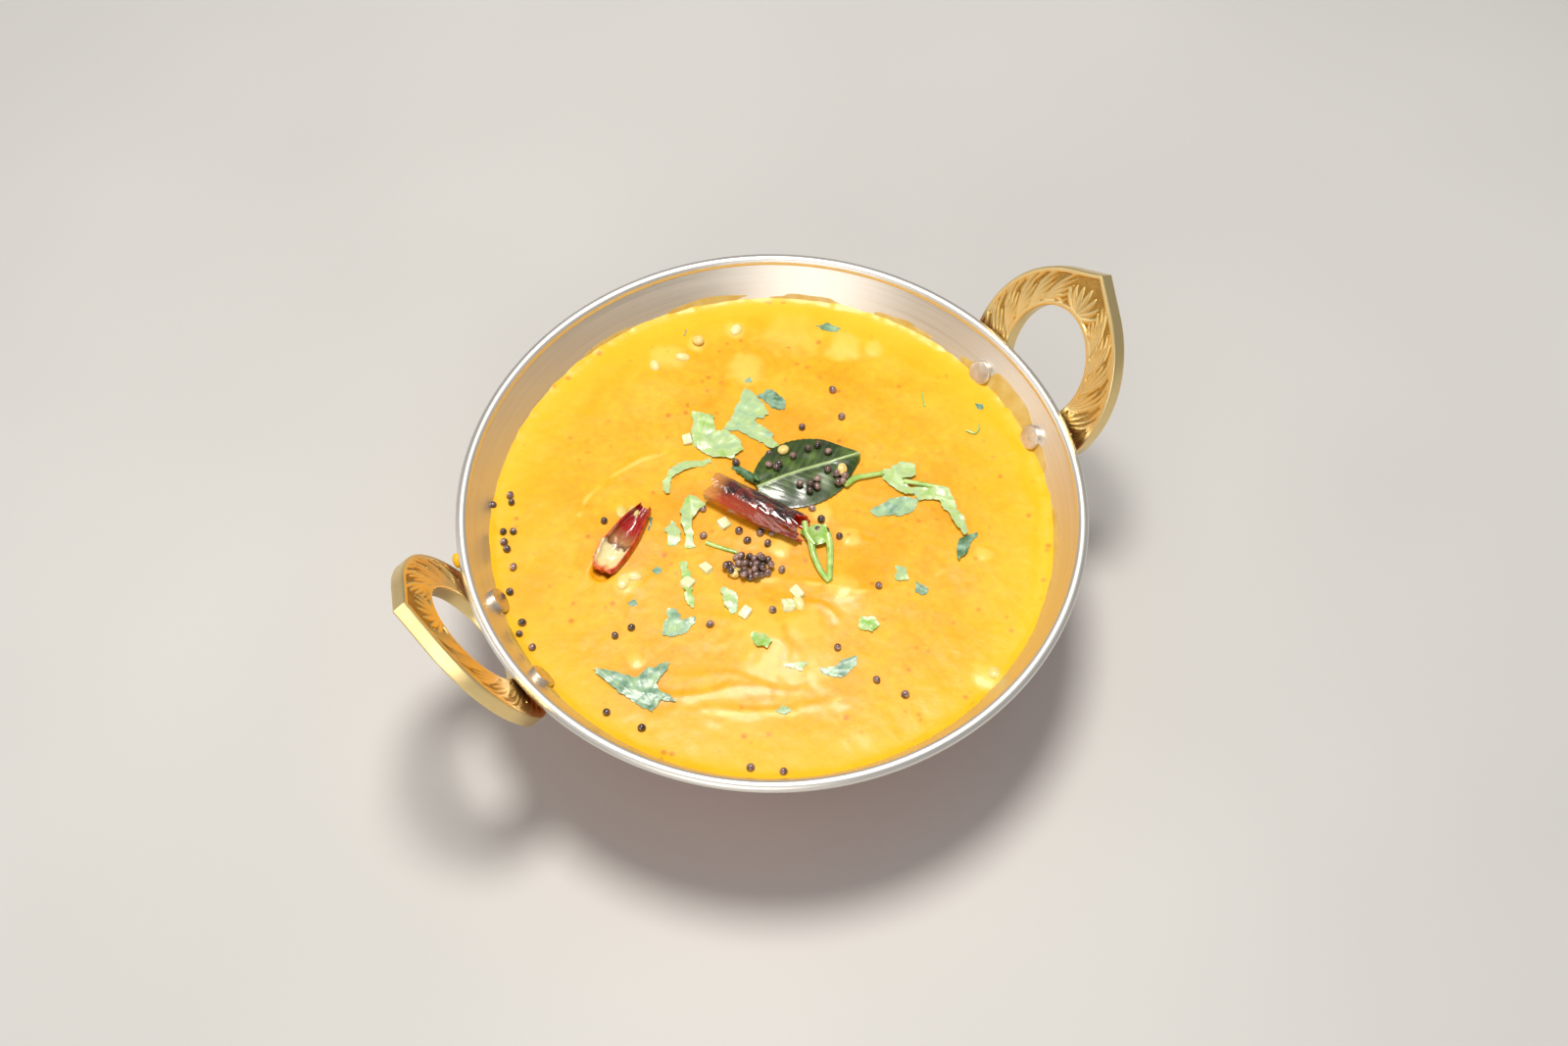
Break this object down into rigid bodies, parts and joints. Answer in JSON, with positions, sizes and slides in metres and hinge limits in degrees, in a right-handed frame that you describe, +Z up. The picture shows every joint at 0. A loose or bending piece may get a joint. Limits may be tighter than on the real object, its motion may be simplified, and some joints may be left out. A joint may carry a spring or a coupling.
{
  "type": "dal",
  "caption": "Thick yellow dal in a small steel-lined copper kadai with riveted brass ring handles, topped with fried dried chilli, a curry leaf, coriander and mustard seeds.",
  "frame": {"origin": "centre of the bowl's flat base, on the surface it stands on", "axes": "+Z up; the handles stand along +X and -X; +Y is level, across the handles"},
  "size_m": [0.1736, 0.14, 0.0714],
  "materials": {
    "steel": "brushed stainless steel liner and rolled rim",
    "copper": "hammered, polished copper",
    "brass": "cast brass, engraved and polished",
    "rivet": "satin steel",
    "dal": "thick, wet and softly glossy",
    "chilli": "oily fried skin",
    "leaf": "oily fried leaf"
  },
  "bodies": {
    "root": {"bowl_steel": "steel", "bowl_copper": "copper", "handle_left": "brass", "handle_right": "brass", "rivet_left_1": "rivet", "rivet_left_2": "rivet", "rivet_right_1": "rivet", "rivet_right_2": "rivet", "dal": "dal", "chilli_whole": "chilli", "chilli_split": "chilli", "curry_leaf": "leaf"}
  },
  "joints": []
}
